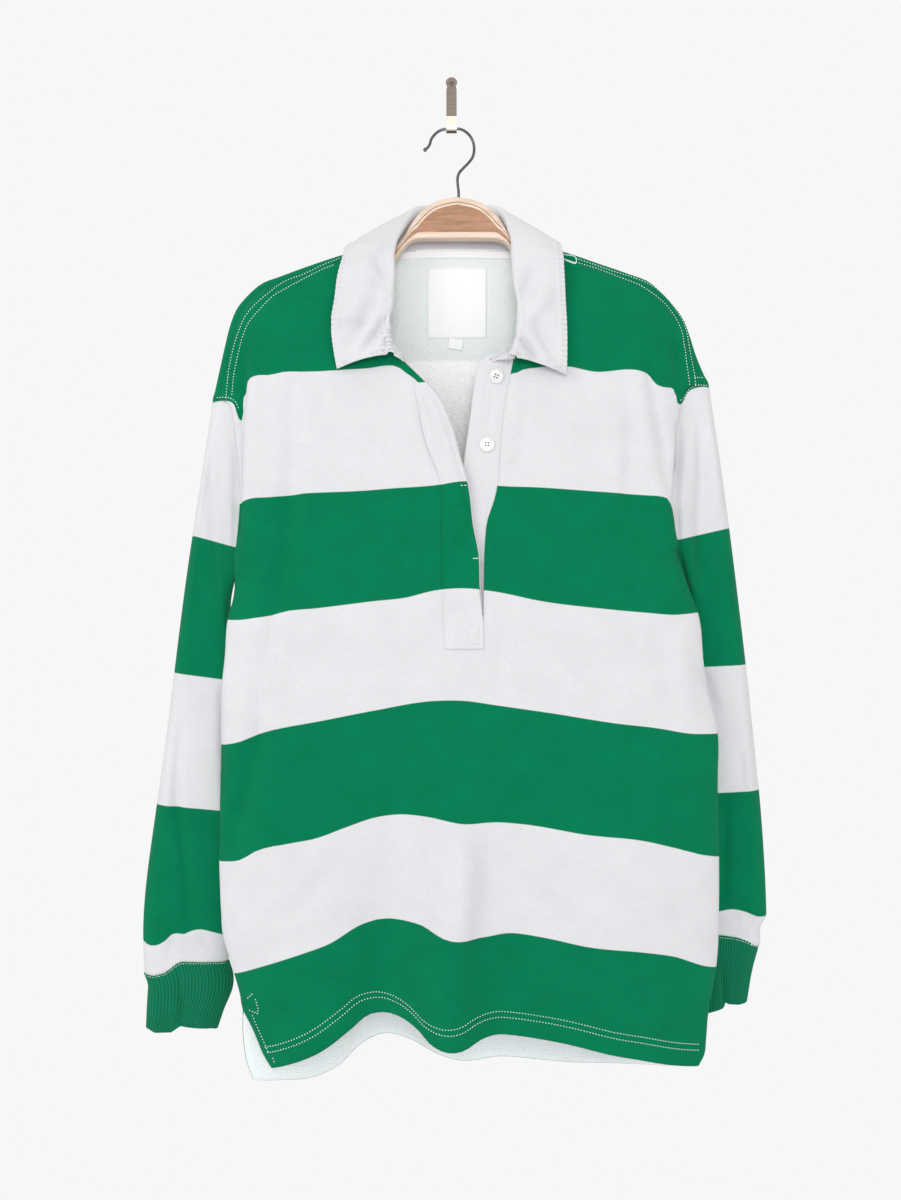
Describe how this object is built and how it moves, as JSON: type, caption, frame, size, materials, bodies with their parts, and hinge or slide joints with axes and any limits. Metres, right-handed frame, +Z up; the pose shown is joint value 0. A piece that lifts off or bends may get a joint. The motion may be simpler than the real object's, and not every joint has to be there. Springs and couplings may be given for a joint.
{
  "type": "rugby shirt on a hanger",
  "caption": "Long-sleeved striped rugby shirt with a twill collar, half placket and ribbed cuffs, hung flat on a wooden hanger from a small wall hook.",
  "frame": {"origin": "middle of the wall hook's flat back, on the wall", "axes": "+Z up, +Y into the wall, -Y the way the shirt's front faces, +X the wearer's left"},
  "size_m": [0.6138, 0.1015, 0.9904],
  "materials": {
    "striped_knit": "heavy cotton jersey, brushed inside, in broad green and white stripes",
    "rib_knit": "green rib knit",
    "twill": "white cotton twill",
    "label_cloth": "smooth woven label, blank",
    "button": "polished, four holes",
    "beech": "satin varnish",
    "hanger_steel": "plated wire",
    "hook_steel": "darkened strip"
  },
  "bodies": {
    "root": {"front": "striped_knit", "back": "striped_knit", "sleeve_left": "striped_knit", "sleeve_right": "striped_knit", "placket_fly": "striped_knit", "cuff_left": "rib_knit", "cuff_right": "rib_knit", "collar": "twill", "placket_underlap": "twill", "placket_facing": "twill", "neck_tape": "twill", "neck_label": "label_cloth", "size_tag": "label_cloth", "button_top": "button", "button_low": "button", "hanger_wood": "beech", "hanger_wire": "hanger_steel", "wall_hook": "hook_steel"}
  },
  "joints": []
}
